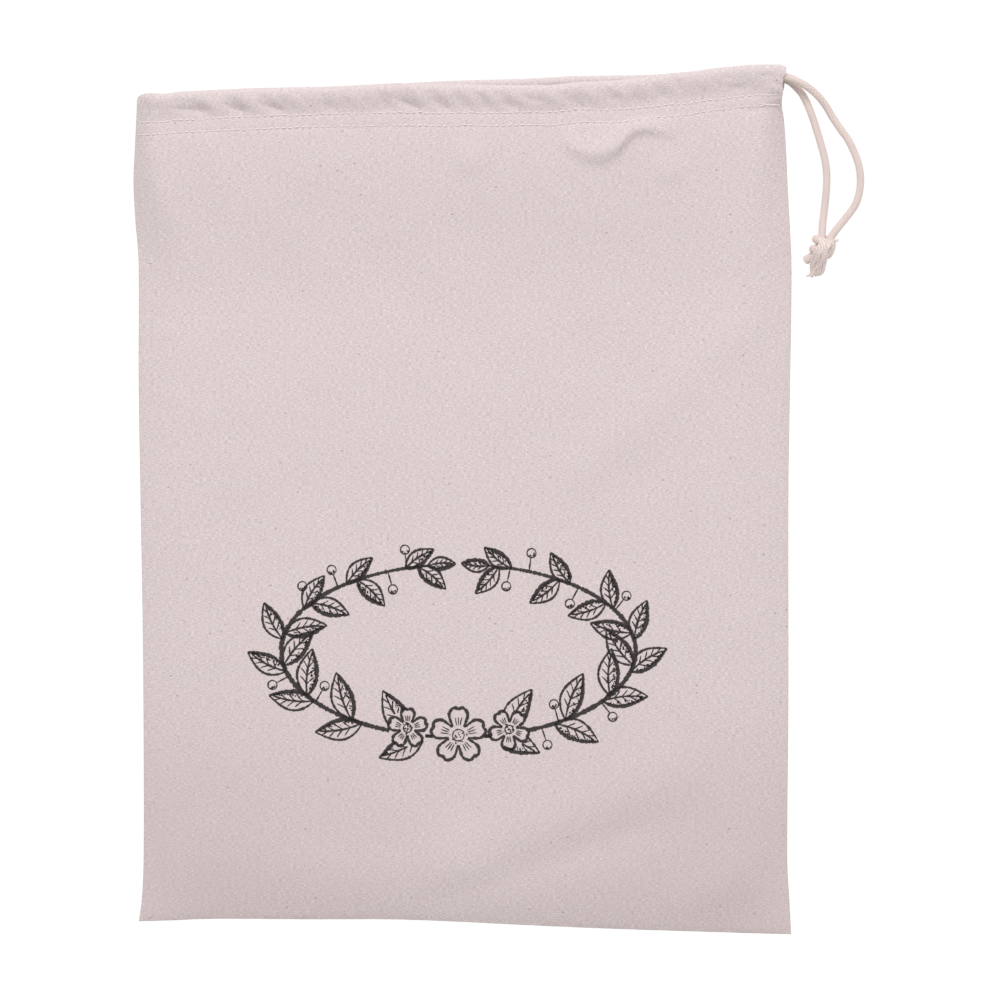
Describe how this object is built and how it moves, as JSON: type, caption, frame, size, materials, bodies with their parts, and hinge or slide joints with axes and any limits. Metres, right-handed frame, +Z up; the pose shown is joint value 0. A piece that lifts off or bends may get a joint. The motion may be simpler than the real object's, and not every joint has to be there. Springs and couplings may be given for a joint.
{
  "type": "drawstring bread bag",
  "caption": "Flat cloth pouch on its back: two sewn panels with stitched casings at the mouth, and a braided drawcord whose ends leave at the right and share one knot.",
  "frame": {"origin": "centre of the bag's outline, on the surface that it lies on", "axes": "+X across the bag to the side where the cord leaves, +Y up the bag to its mouth, +Z up from the surface through the front panel"},
  "size_m": [0.3384, 0.4026, 0.0179],
  "materials": {
    "cloth": "matt plain weave of linen and cotton, unbleached",
    "cord": "soft braided cotton cord, undyed",
    "ink": "matt dark printing ink soaked into the cloth"
  },
  "bodies": {
    "root": {"front_panel": "cloth", "back_panel": "cloth", "drawcord_in_casing": "cord", "front_cord_end": "cord", "back_cord_end": "cord", "end_knot": "cord"}
  },
  "joints": []
}
